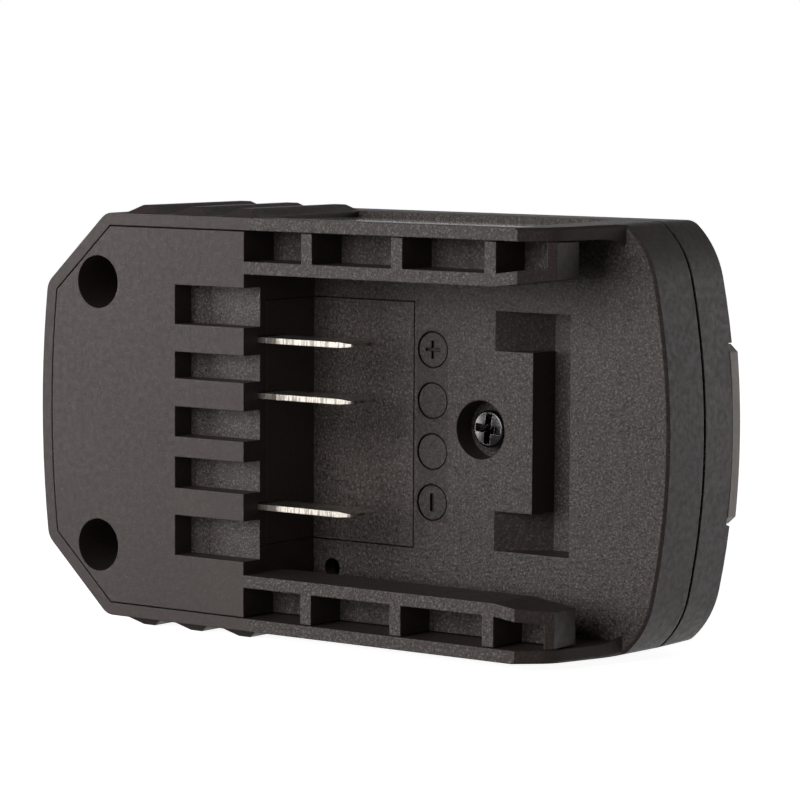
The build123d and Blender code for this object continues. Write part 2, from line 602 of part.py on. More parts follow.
def top_cover():
    back = plan_outline((SPLIT_DEPTH - COVER_HEIGHT) * tan(radians(DRAFT)))
    body = extrude(Pos(0, 0, -DEPTH) * back, amount=COVER_HEIGHT, taper=-DRAFT)
    body = chamfer(body.edges().group_by(Axis.Z)[0], BACK_BEVEL)
    body += prism(plan_outline(-WALL - SHELL_GAP), SPLIT_DEPTH - LIP_HEIGHT, SPLIT_DEPTH)
    body -= prism(plan_outline(-WALL - SHELL_GAP - LIP_THICK), SPLIT_DEPTH - LIP_HEIGHT - 1, INNER_BACK)

    seat_x = FLAP_AXIS_X - FLAP_THICK / 2 - FLAP_GAP
    body += box(seat_x - FLAP_FRAME, LENGTH - WALL - SHELL_GAP - LIP_THICK, -FLAP_HALF - FLAP_FRAME,
                FLAP_HALF + FLAP_FRAME, FLAP_UNDER - FLAP_SEAT, INNER_BACK + SINK)
    body -= box(seat_x, FAR, -FLAP_HALF - FLAP_GAP, FLAP_HALF + FLAP_GAP, FLAP_UNDER - 0.1, DEPTH + 1)
    body -= flap_pin(PIN_ROOM)

    half_x = USB_HEIGHT / 2 + USB_ROOM
    half_y = USB_WIDTH / 2 + USB_ROOM
    for y in USB_ROWS.values():
        body -= box(USB_X - half_x, USB_X + half_x, y - half_y, y + half_y, FLAP_UNDER - FLAP_SEAT - 1, DEPTH)

    pilot = SHANK_RADIUS + THREAD_ROOM
    for side in (1, -1):
        y = side * HOLE_Y
        body += pillar(HOLE_X, y, pilot + BOSS_WALL, SPLIT_DEPTH, INNER_BACK + SINK)
        body -= rod(HOLE_X, y, pilot, SPLIT_DEPTH - 1, HOLE_DEPTH + BLOCK_SHANK + PILOT_SPARE)
    for x, y in POSTS:
        body += pillar(x, y, POST_HALF, BOARD_BACK, INNER_BACK + SINK)
        body -= rod(x, y, BOARD_SCREW_RADIUS + THREAD_ROOM, BOARD_BACK - 1,
                    BOARD_DEPTH + BOARD_SCREW_LENGTH + PILOT_SPARE)
    body += rod(CENTRE_X, 0, pilot + BOSS_WALL, CENTRE_BOSS_END, INNER_BACK + SINK)
    body -= rod(CENTRE_X, 0, pilot, CENTRE_BOSS_END - 1, CENTRE_SEAT + CENTRE_SHANK + PILOT_SPARE)

    body -= rod(BUTTON_X, 0, BUTTON_RADIUS + BUTTON_GAP, INNER_BACK - 1, DEPTH + 1)
    body -= rod(WINDOW_X, 0, WINDOW_RADIUS + WINDOW_ROOM, INNER_BACK - 1, DEPTH + 1)
    return body


def flap_pin(room=0.0):
    reach = FLAP_HALF + PIN_ANCHOR + room
    axis_depth = FLAP_UNDER + FLAP_THICK / 2
    return Pos(FLAP_AXIS_X, 0, -axis_depth) * Rot(90, 0, 0) * Cylinder(PIN_RADIUS + room, 2 * reach)


def usb_flap():
    """Hinged cover: rolled hinge edge, plate with a crowned edge a little proud of the casing."""
    axis_depth = FLAP_UNDER + FLAP_THICK / 2
    plate = box(FLAP_AXIS_X, FAR, -FLAP_HALF, FLAP_HALF, FLAP_UNDER, DEPTH)
    plate = plate & rod(LENGTH + FLAP_PROUD - FLAP_END_RADIUS, 0, FLAP_END_RADIUS, FLAP_UNDER - 1, DEPTH + 1)
    corners = plate.edges().filter_by(Axis.Z).group_by(Axis.X)[-1]
    plate = chamfer(corners, FLAP_CORNER)
    barrel = Pos(FLAP_AXIS_X, 0, -axis_depth) * Rot(90, 0, 0) * Cylinder(FLAP_THICK / 2, 2 * FLAP_HALF)
    return plate + barrel - flap_pin(PIN_ROOM)


def power_button():
    """Round cap with a bevelled face, a flange behind the cover and a post on the switch."""
    flange_back = INNER_BACK - BUTTON_GAP
    flange_front = flange_back - BUTTON_FLANGE_THICK
    cap = rod(BUTTON_X, 0, BUTTON_RADIUS, flange_back, DEPTH)
    cap = chamfer(cap.edges().filter_by(GeomType.CIRCLE).group_by(Axis.Z)[0], BUTTON_BEVEL)
    cap += rod(BUTTON_X, 0, BUTTON_RADIUS + BUTTON_FLANGE, flange_front, flange_back)
    return cap + rod(BUTTON_X, 0, BUTTON_POST, BOARD_BACK + SWITCH_HEIGHT + PLUNGER_OUT, flange_front)


def switch_body():
    half = SWITCH_SIZE / 2
    body = box(BUTTON_X - half, BUTTON_X + half, -half, half, BOARD_BACK, BOARD_BACK + SWITCH_HEIGHT)
    hole_bottom = BOARD_BACK + SWITCH_HEIGHT - PLUNGER_IN - BUTTON_TRAVEL - PLUNGER_SPARE
    return body - rod(BUTTON_X, 0, PLUNGER_RADIUS + PLUNGER_ROOM, hole_bottom, BOARD_BACK + SWITCH_HEIGHT + 1)


def switch_plunger():
    surface = BOARD_BACK + SWITCH_HEIGHT
    return rod(BUTTON_X, 0, PLUNGER_RADIUS, surface - PLUNGER_IN, surface + PLUNGER_OUT)


def light_window():
    """Clear rod over the light, wider behind the cover so that it can't fall out."""
    start = BOARD_BACK + LED[2] + LED_CLEAR
    return rod(WINDOW_X, 0, WINDOW_RADIUS, start, DEPTH) + rod(
        WINDOW_X, 0, WINDOW_RADIUS + WINDOW_FLANGE, start, INNER_BACK)


def on_board(size, place):
    """Block standing on the battery side of the main board."""
    return box(place[0] - size[0] / 2, place[0] + size[0] / 2, place[1] - size[1] / 2, place[1] + size[1] / 2,
               BOARD_DEPTH - size[2], BOARD_DEPTH)


def main_board():
    body = box(BOARD_START_X, BOARD_END_X, -BOARD_HALF, BOARD_HALF, BOARD_DEPTH, BOARD_BACK)
    body = chamfer(body.edges().filter_by(Axis.Z), BOARD_CORNER)
    centre_hole = SHANK_RADIUS + THREAD_ROOM + BOSS_WALL + CENTRE_ROOM
    body -= rod(CENTRE_X, 0, centre_hole, BOARD_DEPTH - 1, BOARD_BACK + 1)
    for x, y in POSTS:
        body -= rod(x, y, BOARD_SCREW_RADIUS + SHANK_ROOM, BOARD_DEPTH - 1, BOARD_BACK + 1)
    middle = BLADE_LEG_X + BLADE_LEG_WIDTH / 2
    for y in BLADES.values():
        half_x = BLADE_TAB_WIDTH / 2 + BLADE_ROOM
        half_y = BLADE_THICK / 2 + BLADE_ROOM
        body -= box(middle - half_x, middle + half_x, y - half_y, y + half_y, BOARD_DEPTH - 1, BOARD_BACK + 1)
    return body - header_pins(BLADE_ROOM)


def usb_board():
    body = box(USB_BOARD_START_X, USB_BOARD_END_X, -USB_BOARD_HALF, USB_BOARD_HALF, USB_BOARD_DEPTH,
               USB_BOARD_BACK)
    return chamfer(body.edges().filter_by(Axis.Z), BOARD_CORNER) - header_pins(BLADE_ROOM)


def header_pins(room=0.0):
    """Row of square pins through both boards."""
    half = HEADER_PIN / 2 + room
    first = -PIN_SPACING * (HEADER_PINS - 1) / 2
    row = [first + PIN_SPACING * index for index in range(HEADER_PINS)]
    return [box(HEADER_X - half, HEADER_X + half, y - half, y + half, USB_BOARD_DEPTH - PIN_PROUD - room,
                BOARD_BACK + PIN_PROUD + room) for y in row]


def board_header():
    half_x = HEADER_THICK / 2
    half_y = PIN_SPACING * HEADER_PINS / 2
    body = box(HEADER_X - half_x, HEADER_X + half_x, -half_y, half_y, USB_BOARD_BACK, BOARD_DEPTH)
    return body + header_pins()


def inductor():
    block = on_board(INDUCTOR, INDUCTOR_AT)
    return chamfer(block.edges().filter_by(Axis.Z), INDUCTOR_CHAMFER)


def can(radius, height, place):
    """Electrolytic capacitor standing on the board."""
    return rod(*place, radius, BOARD_DEPTH - height, BOARD_DEPTH)


def heat_sink():
    base_back = BOARD_DEPTH - TRANSISTOR[2]
    x, y = TRANSISTOR_AT
    long, wide, high = HEAT_SINK
    body = box(x - long / 2, x + long / 2, y - wide / 2, y + wide / 2, base_back - HEAT_SINK_BASE, base_back)
    step = (wide - HEAT_SINK_FIN) / (HEAT_SINK_FINS - 1)
    for index in range(HEAT_SINK_FINS):
        low = y - wide / 2 + step * index
        body += box(x - long / 2, x + long / 2, low, low + HEAT_SINK_FIN, base_back - high,
                    base_back - HEAT_SINK_BASE)
    return body


def chip(size, place, legs):
    """Flat package with gull legs on two sides."""
    body = on_board(size, place)
    pitch = size[0] / legs
    for index in range(legs):
        x = place[0] - size[0] / 2 + pitch * (index + 0.5)
        for side in (1, -1):
            y = place[1] + side * (size[1] / 2 + LEG_OUT)
            body += box(x - LEG[0] / 2, x + LEG[0] / 2, y - LEG[1] / 2, y + LEG[1] / 2, BOARD_DEPTH - LEG[2],
                        BOARD_DEPTH)
    return body


def usb_shell(y):
    """Drawn metal tube with a closed base and spring windows in both broad sides."""
    outer = box(USB_X - USB_HEIGHT / 2, USB_X + USB_HEIGHT / 2, y - USB_WIDTH / 2, y + USB_WIDTH / 2,
                USB_BOARD_BACK, USB_MOUTH_DEPTH)
    outer = chamfer(outer.edges().filter_by(Axis.Z), USB_CHAMFER)
    inner = box(USB_X - USB_HEIGHT / 2 + USB_METAL, USB_X + USB_HEIGHT / 2 - USB_METAL,
                y - USB_WIDTH / 2 + USB_METAL, y + USB_WIDTH / 2 - USB_METAL, USB_BOARD_BACK + USB_METAL,
                USB_MOUTH_DEPTH + 1)
    inner = chamfer(inner.edges().filter_by(Axis.Z), USB_CHAMFER - USB_METAL)
    body = outer - inner
    for middle in (y - USB_WIDTH / 4, y + USB_WIDTH / 4):
        low, high = middle - USB_WINDOW_HALF, middle + USB_WINDOW_HALF
        body -= box(USB_X - USB_HEIGHT, USB_X + USB_HEIGHT, low, high, USB_MOUTH_DEPTH - USB_WINDOW_FAR,
                    USB_MOUTH_DEPTH - USB_WINDOW_NEAR)
    return body


def usb_insulator(y):
    """Plastic base with the contact tongue."""
    inset = USB_METAL + USB_FIT
    base = box(USB_X - USB_HEIGHT / 2 + inset, USB_X + USB_HEIGHT / 2 - inset, y - USB_WIDTH / 2 + inset,
               y + USB_WIDTH / 2 - inset, USB_BOARD_BACK + inset, USB_BOARD_BACK + USB_BASE)
    base = chamfer(base.edges().filter_by(Axis.Z), USB_CHAMFER - USB_METAL)
    front = USB_X + USB_HEIGHT / 2 - USB_METAL - TONGUE_OFF
    return base + box(front - TONGUE_THICK, front, y - TONGUE_WIDTH / 2, y + TONGUE_WIDTH / 2,
                      USB_BOARD_BACK + USB_BASE - 1, USB_MOUTH_DEPTH - TONGUE_SET_BACK)


def usb_contacts(y):
    """Four strips along the tongue."""
    back = USB_X + USB_HEIGHT / 2 - USB_METAL - TONGUE_OFF - TONGUE_THICK
    return [box(back - CONTACT_THICK, back, y + shift - CONTACT_WIDTH / 2, y + shift + CONTACT_WIDTH / 2,
                USB_BOARD_BACK + USB_BASE, USB_MOUTH_DEPTH - TONGUE_SET_BACK - 1) for shift in CONTACTS_AT]


def side_label():
    edge = LABEL_EDGE + LABEL_GAP
    sheet = side_tool(LABEL_START_X + LABEL_GAP, LABEL_END_X - LABEL_GAP, edge, SPLIT_DEPTH - edge,
                      -LABEL_RECESS, -LABEL_RECESS + LABEL_THICK, 1)
    return fillet(sheet.edges().filter_by(lambda edge: abs(edge.tangent_at(0.5).Y) > 0.9), LABEL_ROUND)


def place(piece):
    """Stands the adapter on its long side, centred over the origin."""
    low = HALF_WIDTH + RIB_HEIGHT
    return Pos(-LENGTH / 2, -DEPTH / 2, low) * (Rot(90, 0, 0) * piece)


def as_solids(shape):
    """Separate solids of a shape or of a list of shapes."""
    shapes = shape if isinstance(shape, (list, tuple)) and not hasattr(shape, "wrapped") else [shape]
    return [solid for one in shapes for solid in one.solids()]


pieces = {
    "lower_housing": lower_housing(),
    "rail_frame": rail_frame(),
    "terminal_holder": terminal_holder(),
    **{name: blade(y) for name, y in BLADES.items()},
    "centre_screw": centre_screw(),
    "block_screws": block_screws(),
    "top_cover": top_cover(),
    "main_board": main_board(),
    "board_screws": board_screws(),
    "usb_board": usb_board(),
    "board_header": board_header(),
    "inductor": inductor(),
    "input_capacitor": can(*INPUT_CAP, INPUT_CAP_AT),
    "output_capacitors": [can(*OUTPUT_CAP, spot) for spot in OUTPUT_CAPS_AT],
    "switching_transistor": chip(TRANSISTOR, TRANSISTOR_AT, 3),
    "heat_sink": heat_sink(),
    "control_chip": chip(CONTROL_CHIP, CONTROL_CHIP_AT, 4),
    "input_fuse": on_board(FUSE, FUSE_AT),
    "status_led": box(WINDOW_X - LED[0] / 2, WINDOW_X + LED[0] / 2, -LED[1] / 2, LED[1] / 2, BOARD_BACK,
                      BOARD_BACK + LED[2]),
    "light_window": light_window(),
    "switch_body": switch_body(),
    "switch_plunger": switch_plunger(),
    "power_button": power_button(),
    "usb_flap": usb_flap(),
    "flap_pin": flap_pin(),
    "side_label": side_label(),
}
for row, y in USB_ROWS.items():
    pieces[f"usb_shell_{row}"] = usb_shell(y)
    pieces[f"usb_insulator_{row}"] = usb_insulator(y)
    pieces[f"usb_contacts_{row}"] = usb_contacts(y)

os.makedirs("parts", exist_ok=True)
for name, piece in pieces.items():
    solids = [place(solid) for solid in as_solids(piece)]
    export_step(Compound(children=solids) if len(solids) > 1 else solids[0], f"parts/{name}.step")
    print(name, len(solids), "solids", round(sum(solid.volume for solid in solids)), "mm3")
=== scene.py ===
"""Looks of the USB battery adapter: materials, fine detail, floor, light and camera."""
import json
from math import cos, pi, radians, sin

import bmesh
import bpy
from mathutils import Matrix, Vector


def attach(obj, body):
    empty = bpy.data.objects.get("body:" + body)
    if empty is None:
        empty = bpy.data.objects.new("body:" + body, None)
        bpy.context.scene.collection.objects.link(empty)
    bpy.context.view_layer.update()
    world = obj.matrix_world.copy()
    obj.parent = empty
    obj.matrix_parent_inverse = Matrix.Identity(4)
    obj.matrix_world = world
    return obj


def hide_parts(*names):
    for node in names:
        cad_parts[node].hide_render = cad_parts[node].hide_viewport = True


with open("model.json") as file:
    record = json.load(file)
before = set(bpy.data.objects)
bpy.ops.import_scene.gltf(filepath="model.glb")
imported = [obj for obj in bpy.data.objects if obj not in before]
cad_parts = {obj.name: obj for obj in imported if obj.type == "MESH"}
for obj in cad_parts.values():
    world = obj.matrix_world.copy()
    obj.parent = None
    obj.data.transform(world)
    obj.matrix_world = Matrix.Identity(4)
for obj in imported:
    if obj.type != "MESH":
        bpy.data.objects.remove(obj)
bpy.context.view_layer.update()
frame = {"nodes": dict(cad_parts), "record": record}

MM = 0.001

# Camera, as the photograph was taken, with its angles in degrees
CAMERA_AT = (0.39529, -0.51900, 0.10094)
AZIMUTH = 36.99              # from the battery face round to the right end
ELEVATION = 5.23
ROLL = 0.29
LENS = 168.0
SENSOR_WIDTH = 36.0

# Places on the part
FLOOR_Y = -1.3 * MM          # floor of the battery bay
COARSE_Y = -20.0 * MM        # deeper than this, just below the battery face, the grain is coarse
RAILS_X = -14.0 * MM         # end of the terminal block, where the rails begin
MIDDLE_Z = 37.45 * MM
WELD = 0.0001 * MM           # corners closer than this are one

# Terminal marks pressed into the floor of the bay
RING_X = 12.35 * MM
RING_STEP = 8.87 * MM
RING_PLACES = (-1.5, -0.5, 0.5, 1.5)     # steps from the middle, from the minus to the plus
RING_OUTER = 3.27 * MM
RING_LINE = 0.34 * MM
RING_TAPER = 0.2             # share of the line's width by which each wall leans in
RING_SHIFT = 0.12 * MM       # the line is wider on the left
RING_STEPS = 64
GROOVE = 0.55 * MM           # depth of the lines
STROKE = 0.55 * MM           # width of the plus's strokes
MINUS_STROKE = 1.4 * STROKE
SIGN_HALF = 1.55 * MM        # half a stroke's length
HOUSING_SHARP = 28.0         # degrees, edges above this stay sharp

# Centre screw; shares are of the head's radius and height, or of the shank's
SCREW_AT = (22.65 * MM, 3.1 * MM, MIDDLE_Z)
HEAD_RADIUS = 3.25 * MM
HEAD_HEIGHT = 2.4 * MM
CROWN = (0.4, 0.985)         # a point on the crown, in shares
ROUNDING = (0.13, 0.26)      # rounded shoulder of the head, in shares
SHOULDER = 0.68              # share of the height where the rounding ends
RIM = 0.12                   # share of the height where the lower edge begins
RIM_INSET = 0.12 * MM
CROWN_STEPS = 8
SHANK_RADIUS = 1.75 * MM
SHANK_LENGTH = 12.5 * MM
THREAD_START = 0.08          # share of the shank's length, as the next one
THREAD_LENGTH = 0.86
THREAD_ROOT = 0.86           # share of the shank's radius
THREAD_POINTS = 24
TIP = (0.5, 0.985)           # shares of the shank's radius and length
SCREW_STEPS = 64
SCREW_SHARP = 32.0           # degrees
CROSS_TURN = -6.0            # degrees
CROSS_TOP = (2.75 * MM, 0.68 * MM, 1.02 * HEAD_HEIGHT)       # an arm's half length, half width
CROSS_BOTTOM = (1.1 * MM, 0.42 * MM, -0.1 * HEAD_HEIGHT)     # and height

# Edges are shaded as if they had these radii
MOULDED_EDGE = 0.25 * MM
METAL_EDGE = 0.12 * MM
SCREW_EDGE = 0.2 * MM
GLOSSY_EDGE = 0.2 * MM
LENS_EDGE = 0.12 * MM
EDGE_SAMPLES = 6

# Textures, in features per metre
CLOUDS = 38.0
SCUFFS = 420.0
COARSE_GRAIN = 950.0
FINE_GRAIN = 2300.0
SPECKS = 3400.0
BAY_GLINTS = 2250.0
BAY_PITS = 2050.0
BAY_SAND = 2300.0
METAL_STAINS = 240.0
METAL_LINES = 900.0
METAL_PITS = 1900.0
GLOSS_WAVES = 140.0
GLOSS_MARKS = 1500.0
BOARD_WEAVE = 900.0
BOARD_TRACKS = 260.0
BOARD_SHINE = 500.0
LENS_FROST = 700.0
LENS_WAVES = 300.0
FLOOR_PATCHES = 3.0

# Studio
FLOOR_SIZE = 6.0
FLOOR_CELLS = 24
FLOOR_GAP = 0.2 * MM         # between the floor and the part
FLOOR_GLOW = 0.92
SURROUND = 0.12              # light from all round
BACKDROP = 1.35              # light from the white backdrop, behind the part only
BACKDROP_Y = (0.50, 0.85)    # directions between which the backdrop begins
BACKDROP_Z = (0.15, 0.45)    # directions between which its light and the surround's fall off
HIGH_SHARE = 0.15            # what is left of them above
AIM = (0, 0, 0.04)
LIGHTS = (                   # name, place, size and watts
    ("front", (-0.12, -1.12, 0.38), (0.7, 0.8), 7.6),
    ("left", (-1.0, -0.68, 0.1), (0.5, 0.6), 7.4),
    ("behind_right", (0.62, 1.05, 0.1), (0.5, 0.5), 0.8),
)


# Node helpers

class Nodes:
    """Adds and links nodes in one tree."""

    def __init__(self, tree):
        self.tree = tree

    def add(self, kind, **settings):
        node = self.tree.nodes.new(kind)
        for key, value in settings.items():
            setattr(node, key, value)
        return node

    def plug(self, socket, value):
        """Gives an input a number, a colour or another node's output."""
        if isinstance(value, bpy.types.NodeSocket):
            self.tree.links.new(value, socket)
        elif isinstance(value, tuple):
            socket.default_value = (*value, 1.0)
        else:
            socket.default_value = value

    def spread(self, value, low, high, to_low, to_high):
        """Maps part of a value's range to another range, clamped."""
        node = self.add("ShaderNodeMapRange")
        self.plug(node.inputs["Value"], value)
        for name, limit in (("From Min", low), ("From Max", high),
                            ("To Min", to_low), ("To Max", to_high)):
            self.plug(node.inputs[name], limit)
        return node.outputs["Result"]

    def math(self, operation, *values):
        node = self.add("ShaderNodeMath", operation=operation)
        for socket, value in zip(node.inputs, values):
            self.plug(socket, value)
        return node.outputs["Value"]

    def parts(self, vector):
        """The X, Y and Z outputs of a vector."""
        node = self.add("ShaderNodeSeparateXYZ")
        self.plug(node.inputs["Vector"], vector)
        return node.outputs


class Shader(Nodes):
    """One material under construction."""

    def __init__(self, name):
        self.material = bpy.data.materials.new(name)
        self.material.use_nodes = True
        super().__init__(self.material.node_tree)
        self.bsdf = self.tree.nodes["Principled BSDF"]
        self.coords = self.add("ShaderNodeTexCoord").outputs["Object"]

    def noise(self, scale, detail=2.0, roughness=0.5, stretch=None):
        """Noise over the part, scale in features per metre."""
        node = self.add("ShaderNodeTexNoise")
        node.inputs["Scale"].default_value = scale
        node.inputs["Detail"].default_value = detail
        node.inputs["Roughness"].default_value = roughness
        source = self.coords
        if stretch:
            mapping = self.add("ShaderNodeMapping")
            mapping.inputs["Scale"].default_value = stretch
            self.plug(mapping.inputs["Vector"], source)
            source = mapping.outputs["Vector"]
        self.plug(node.inputs["Vector"], source)
        return node.outputs["Fac"]

    def mix(self, factor, first, second):
        """Mix of two colours, each a tuple or a node's output."""
        node = self.add("ShaderNodeMix", data_type="RGBA")
        inputs = [socket for socket in node.inputs if socket.enabled]
        for socket, value in zip(inputs, (factor, first, second)):
            self.plug(socket, value)
        return next(socket for socket in node.outputs if socket.enabled)

    def soft_edges(self, radius):
        """Normal with the sharp edges of the mesh rounded off."""
        node = self.add("ShaderNodeBevel", samples=EDGE_SAMPLES)
        node.inputs["Radius"].default_value = radius
        return node.outputs["Normal"]

    def edge_mask(self, rounded):
        """1 along sharp edges, 0 on flat faces."""
        geometry = self.add("ShaderNodeNewGeometry")
        dot = self.add("ShaderNodeVectorMath", operation="DOT_PRODUCT")
        self.plug(dot.inputs[0], rounded)
        self.plug(dot.inputs[1], geometry.outputs["Normal"])
        return self.spread(dot.outputs["Value"], 0.97, 0.75, 0.0, 1.0)

    def bay_mask(self):
        """1 on faces towards -y that lie in the bay or on the rails, 0 elsewhere."""
        place = self.parts(self.coords)
        facing = self.parts(self.add("ShaderNodeNewGeometry").outputs["True Normal"])
        deep = self.spread(place["Y"], COARSE_Y, COARSE_Y + 1 * MM, 0.0, 1.0)
        rails = self.spread(place["X"], RAILS_X, RAILS_X + 2 * MM, 0.0, 1.0)
        flat = self.spread(facing["Y"], -0.9, -0.6, 1.0, 0.0)
        return self.math("MULTIPLY", self.math("MAXIMUM", deep, rails), flat)

    def groove_shade_mask(self):
        """1 in the lines pressed into the floor, which painted shade darkens, 0 elsewhere."""
        place = self.parts(self.coords)
        mask = 1.0
        for axis, middle, reach in (
                ("X", RING_X, RING_OUTER),
                ("Y", FLOOR_Y + 0.6 * GROOVE, 0.5 * GROOVE),
                ("Z", MIDDLE_Z, RING_PLACES[-1] * RING_STEP + RING_OUTER)):
            away = self.math("ABSOLUTE", self.math("SUBTRACT", place[axis], middle))
            inside = self.spread(away, reach, reach + 0.1 * MM, 1.0, 0.0)
            mask = self.math("MULTIPLY", mask, inside)
        return mask

    def bump(self, height, distance, strength, normal=None):
        node = self.add("ShaderNodeBump")
        node.inputs["Distance"].default_value = distance
        node.inputs["Strength"].default_value = strength
        self.plug(node.inputs["Height"], height)
        if normal is not None:
            self.plug(node.inputs["Normal"], normal)
        return node.outputs["Normal"]

    def set(self, name, value):
        self.plug(self.bsdf.inputs[name], value)


def scaled(colour, factor):
    return tuple(min(1.0, channel * factor) for channel in colour)


def moulded_plastic(name, colour, rough=0.52, grain=1.0, edge=1.6, speckle=0.5,
                    coarse_bay=False):
    """Spark-eroded moulding: fine grain, slight clouding, and edges lightened partly as rubbed wear
    and partly as painted highlight.

    With coarse_bay, faces in the battery bay and on the rails have a coarser, sandy grain with
    painted glints, and the lines pressed into the floor are darkened with painted shade.
    """
    shader = Shader(name)
    rounded = shader.soft_edges(MOULDED_EDGE)
    clouds = shader.spread(shader.noise(CLOUDS, 4.0, 0.6), 0.35, 0.68, 0.0, 1.0)
    fine = shader.noise(FINE_GRAIN, 3.0, 0.65)
    coarse = shader.noise(COARSE_GRAIN, 2.0, 0.5)
    height = shader.math("ADD", shader.math("MULTIPLY", fine, 0.6),
                         shader.math("MULTIPLY", coarse, 0.4))
    specks_and_glints = shader.spread(shader.noise(SPECKS, 1.0, 0.4), 0.60, 0.74, 0.0, speckle)
    if coarse_bay:
        bay = shader.bay_mask()
        # painted highlights: glints on the sandy bay grain, added to the specks as lighter flecks
        glints = shader.spread(shader.noise(BAY_GLINTS, 2.0, 0.7), 0.53, 0.62, 0.0, 1.7)
        specks_and_glints = shader.math("ADD", specks_and_glints, shader.math("MULTIPLY", glints, bay))
    grey = sum(colour) / 3
    speck_and_glint_colour = (grey * 3.6, grey * 3.2, grey * 3.0)
    tone = shader.mix(clouds, scaled(colour, 0.92), scaled(colour, 1.08))
    tone = shader.mix(shader.math("MULTIPLY", specks_and_glints, 0.5), tone, speck_and_glint_colour)
    if coarse_bay:
        pits = shader.spread(shader.noise(BAY_PITS, 2.0, 0.7), 0.36, 0.48, 0.9, 0.0)
        # darkest tone: for the pits of the grain, and as painted shade in the pressed lines
        pits_and_groove_shade_colour = scaled(colour, 0.12)
        tone = shader.mix(shader.math("MULTIPLY", pits, bay), tone, pits_and_groove_shade_colour)
        # painted shade: the lines pressed into the floor are darkened as if in shadow
        tone = shader.mix(shader.groove_shade_mask(), tone, pits_and_groove_shade_colour)
        sand = shader.math("MULTIPLY", shader.noise(BAY_SAND, 2.0, 0.6), bay)
        height = shader.math("ADD", height, shader.math("MULTIPLY", sand, 2.5))
    # edges lighter in patches: partly rubbed wear, partly painted highlight
    scuffs = shader.spread(shader.noise(SCUFFS, 4.0, 0.7), 0.42, 0.66, 0.25, 1.0)
    wear_and_highlight = shader.math("MULTIPLY", shader.edge_mask(rounded), scuffs)
    tone = shader.mix(shader.math("MULTIPLY", wear_and_highlight, 0.55), tone, scaled(colour, edge))
    shader.set("Base Color", tone)
    shine = shader.spread(coarse, 0.3, 0.7, rough - 0.05, rough + 0.08)
    shader.set("Roughness", shader.math("SUBTRACT", shine, shader.math("MULTIPLY", wear_and_highlight, 0.08)))
    shader.set("Normal", shader.bump(height, 0.06 * MM * grain, 0.6, rounded))
    shader.set("IOR", 1.46)
    return shader.material


def satin_metal(name, colour, rough, brush=(1.0, 1.0, 1.0), pits=0.3, radius=METAL_EDGE,
                edge=None, streaks=0.0):
    """Plated or drawn metal with fine lines, stains and pits, its edges lightened to a colour,
    partly as rubbed wear and partly as painted highlight.
    """
    shader = Shader(name)
    rounded = shader.soft_edges(radius)
    stains = shader.spread(shader.noise(METAL_STAINS, 4.0, 0.6), 0.38, 0.7, 0.0, 1.0)
    lines = shader.noise(METAL_LINES, 3.0, 0.6, stretch=brush)
    pit = shader.spread(shader.noise(METAL_PITS, 1.0, 0.4), 0.62, 0.75, 0.0, pits)
    tone = shader.mix(stains, colour, scaled(colour, 0.86))
    tone = shader.mix(pit, tone, scaled(colour, 0.45))
    tone = shader.mix(shader.spread(lines, 0.48, 0.60, 0.0, streaks), tone, scaled(colour, 0.2))
    # edges toward a lighter colour: partly rubbed bare metal, partly painted highlight
    if edge:
        tone = shader.mix(shader.edge_mask(rounded), tone, edge)
    shader.set("Base Color", tone)
    shader.set("Metallic", 1.0)
    shine = shader.math("ADD", shader.spread(lines, 0.3, 0.7, rough - 0.06, rough + 0.08),
                        shader.math("MULTIPLY", pit, 0.3))
    shader.set("Roughness", shine)
    height = shader.math("ADD", lines, shader.math("MULTIPLY", pit, -0.8))
    shader.set("Normal", shader.bump(height, 0.02 * MM, 0.4, rounded))
    return shader.material


def glossy_plastic(name, colour, rough, coat=0.0):
    """Smooth shiny plastic, paint or film, with faint unevenness and hairline marks."""
    shader = Shader(name)
    rounded = shader.soft_edges(GLOSSY_EDGE)
    waves = shader.noise(GLOSS_WAVES, 2.0, 0.5)
    marks = shader.noise(GLOSS_MARKS, 3.0, 0.6, stretch=(0.15, 1.0, 1.0))
    shader.set("Base Color", shader.mix(shader.spread(waves, 0.35, 0.65, 0.0, 1.0),
                                        scaled(colour, 0.93), scaled(colour, 1.07)))
    shader.set("Roughness", shader.spread(marks, 0.45, 0.75, rough - 0.03, rough + 0.12))
    height = shader.math("ADD", shader.math("MULTIPLY", waves, 3.0),
                         shader.math("MULTIPLY", marks, 0.3))
    shader.set("Normal", shader.bump(height, 0.02 * MM, 0.3, rounded))
    shader.set("Coat Weight", coat)
    shader.set("Coat Roughness", 0.06)
    return shader.material


def board_laminate(name):
    """Green board with the glass weave under the mask and the tracks as slight ridges."""
    shader = Shader(name)
    weave = shader.add("ShaderNodeTexWave", wave_type="BANDS", bands_direction="DIAGONAL")
    weave.inputs["Scale"].default_value = BOARD_WEAVE
    weave.inputs["Distortion"].default_value = 1.5
    shader.plug(weave.inputs["Vector"], shader.coords)
    threads = shader.math("MULTIPLY", weave.outputs["Fac"], 0.2)
    cells = shader.add("ShaderNodeTexVoronoi", feature="DISTANCE_TO_EDGE")
    cells.inputs["Scale"].default_value = BOARD_TRACKS
    shader.plug(cells.inputs["Vector"], shader.coords)
    tracks = shader.spread(cells.outputs["Distance"], 0.05, 0.09, 1.0, 0.0)
    tone = shader.mix(tracks, (0.010, 0.085, 0.032), (0.022, 0.15, 0.055))
    shader.set("Base Color", shader.mix(threads, tone, (0.05, 0.12, 0.05)))
    shader.set("Roughness", shader.spread(shader.noise(BOARD_SHINE), 0.3, 0.7, 0.28, 0.42))
    shader.set("Normal", shader.bump(shader.math("ADD", tracks, threads), 0.03 * MM, 0.5))
    return shader.material


